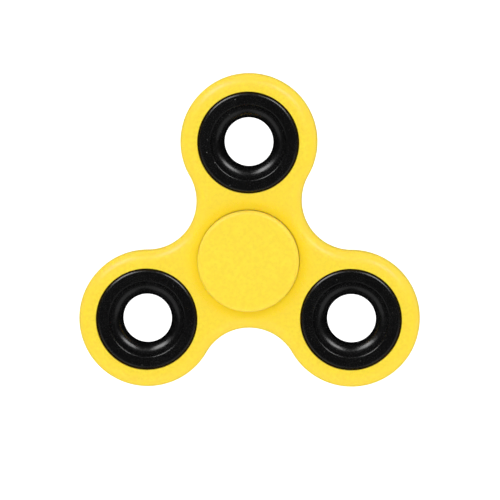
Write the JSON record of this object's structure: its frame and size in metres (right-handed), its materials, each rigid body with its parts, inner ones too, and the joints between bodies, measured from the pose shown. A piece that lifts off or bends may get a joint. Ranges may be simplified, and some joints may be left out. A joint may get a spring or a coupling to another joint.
{
  "type": "fidget spinner",
  "caption": "Flat three-lobed hand spinner: a moulded body with a ring weight in each lobe turns on a central ball bearing between round finger caps.",
  "frame": {"origin": "centre of the ball bearing, on the spin axis and on the mid-plane of the body", "axes": "+Z along the spin axis, out of the front finger cap; +Y towards one lobe; the spinner lies flat in the XY plane"},
  "size_m": [0.074, 0.0682, 0.012],
  "materials": {
    "body_plastic": "satin",
    "cap_plastic": "matte",
    "weight_paint": "satin",
    "race_steel": "satin",
    "ball_steel": "polished",
    "cage_steel": "satin",
    "shield_steel": "satin",
    "spring_steel": "satin"
  },
  "bodies": {
    "hub": {"front_cap": "cap_plastic", "rear_cap": "cap_plastic", "bearing_inner_race": "race_steel"},
    "rotor": {"body_frame": "body_plastic", "weight_ring_top": "weight_paint", "weight_ring_left": "weight_paint", "weight_ring_right": "weight_paint", "bearing_outer_race": "race_steel", "front_shield": "shield_steel", "rear_shield": "shield_steel", "front_snap_ring": "spring_steel", "rear_snap_ring": "spring_steel"},
    "cage": {"cage_front_half": "cage_steel", "cage_rear_half": "cage_steel", "cage_rivets": "cage_steel"},
    "ball_1": {"ball_1": "ball_steel"},
    "ball_2": {"ball_2": "ball_steel"},
    "ball_3": {"ball_3": "ball_steel"},
    "ball_4": {"ball_4": "ball_steel"},
    "ball_5": {"ball_5": "ball_steel"},
    "ball_6": {"ball_6": "ball_steel"},
    "ball_7": {"ball_7": "ball_steel"}
  },
  "joints": [
    {"name": "spin", "type": "hinge", "parent": "hub", "child": "rotor", "pos_m": [0, 0, 0], "axis": [0, 0, 1], "continuous": true},
    {"name": "cage_turn", "type": "hinge", "parent": "hub", "child": "cage", "pos_m": [0, 0, 0], "axis": [0, 0, 1], "continuous": true},
    {"name": "ball_1_roll", "type": "hinge", "parent": "cage", "child": "ball_1", "pos_m": [0, 0.0075, 0], "axis": [0, 0, 1], "continuous": true},
    {"name": "ball_2_roll", "type": "hinge", "parent": "cage", "child": "ball_2", "pos_m": [-0.00586, 0.00468, 0], "axis": [0, 0, 1], "continuous": true},
    {"name": "ball_3_roll", "type": "hinge", "parent": "cage", "child": "ball_3", "pos_m": [-0.00731, -0.00167, 0], "axis": [0, 0, 1], "continuous": true},
    {"name": "ball_4_roll", "type": "hinge", "parent": "cage", "child": "ball_4", "pos_m": [-0.00325, -0.00676, 0], "axis": [0, 0, 1], "continuous": true},
    {"name": "ball_5_roll", "type": "hinge", "parent": "cage", "child": "ball_5", "pos_m": [0.00325, -0.00676, 0], "axis": [0, 0, 1], "continuous": true},
    {"name": "ball_6_roll", "type": "hinge", "parent": "cage", "child": "ball_6", "pos_m": [0.00731, -0.00167, 0], "axis": [0, 0, 1], "continuous": true},
    {"name": "ball_7_roll", "type": "hinge", "parent": "cage", "child": "ball_7", "pos_m": [0.00586, 0.00468, 0], "axis": [0, 0, 1], "continuous": true}
  ],
  "couplings": [
    {"joint": "cage_turn", "follows": "spin", "ratio": 0.6323},
    {"joint": "ball_1_roll", "follows": "spin", "ratio": 1.7573},
    {"joint": "ball_2_roll", "follows": "spin", "ratio": 1.7573},
    {"joint": "ball_3_roll", "follows": "spin", "ratio": 1.7573},
    {"joint": "ball_4_roll", "follows": "spin", "ratio": 1.7573},
    {"joint": "ball_5_roll", "follows": "spin", "ratio": 1.7573},
    {"joint": "ball_6_roll", "follows": "spin", "ratio": 1.7573},
    {"joint": "ball_7_roll", "follows": "spin", "ratio": 1.7573}
  ]
}
